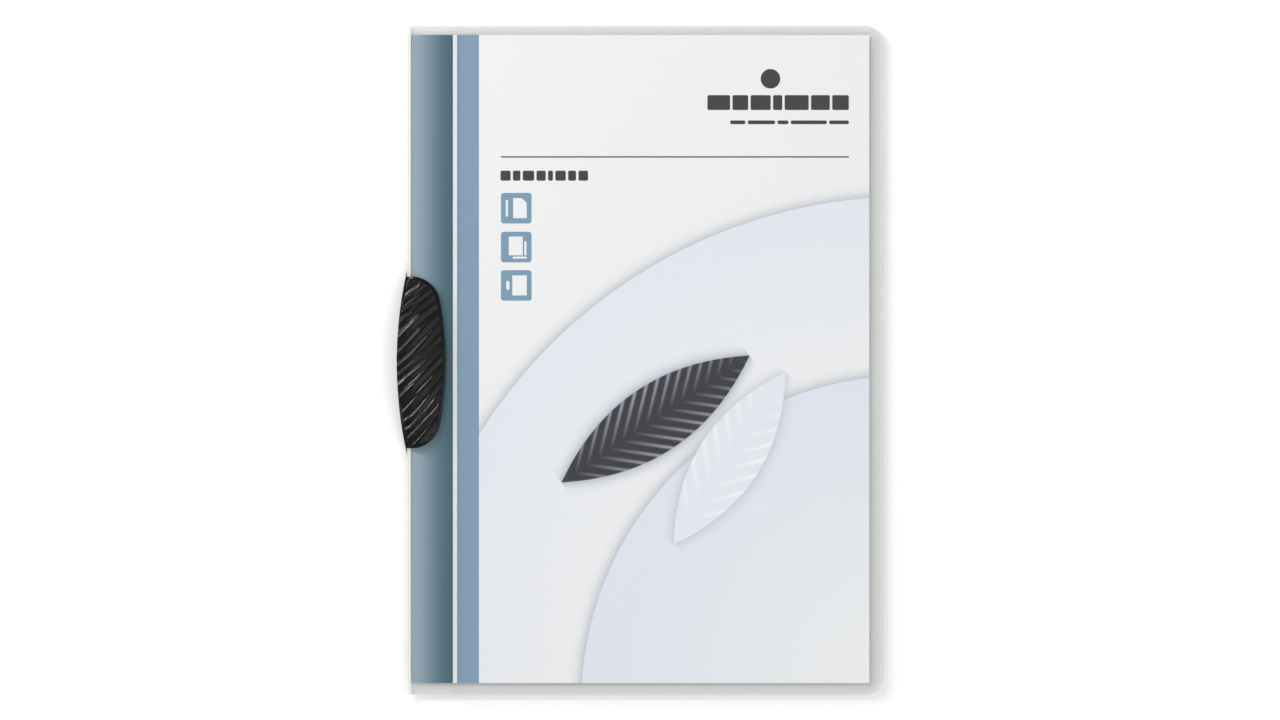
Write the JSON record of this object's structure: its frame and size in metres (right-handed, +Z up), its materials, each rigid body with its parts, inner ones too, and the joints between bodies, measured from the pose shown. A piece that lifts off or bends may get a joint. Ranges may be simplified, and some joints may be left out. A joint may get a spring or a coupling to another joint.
{
  "type": "clip folder",
  "caption": "A4 clip folder of translucent film lying flat, with a printed sheet inside and a ribbed black clip on its spine.",
  "frame": {"origin": "centre of the bottom of the bounding box, on the surface that the clip's back plate rests on", "axes": "+X from the spine to the free edge, +Y to the top of the folder, +Z up out of the front cover"},
  "size_m": [0.2234, 0.3064, 0.0102],
  "materials": {
    "film": "frosted translucent film",
    "front_film": "clear film",
    "printed_card": "printed card",
    "clip_plastic": "moulded, ribbed",
    "rivet_plastic": "moulded"
  },
  "bodies": {
    "folder": {"back_cover": "film", "insert_sheet": "printed_card", "pivot_rivet": "rivet_plastic"},
    "front": {"front_cover": "front_film"},
    "swing_clip": {"clip": "clip_plastic"}
  },
  "joints": [
    {"name": "cover_hinge", "type": "hinge", "parent": "folder", "child": "front", "pos_m": [-0.0844, 0, 0.0044], "axis": [0, -1, 0], "range_deg": [0, 150]},
    {"name": "clip_swing", "type": "hinge", "parent": "folder", "child": "swing_clip", "pos_m": [-0.09775, 0.0351, 0.0018], "axis": [0, 0, -1], "range_deg": [0, 45]}
  ]
}
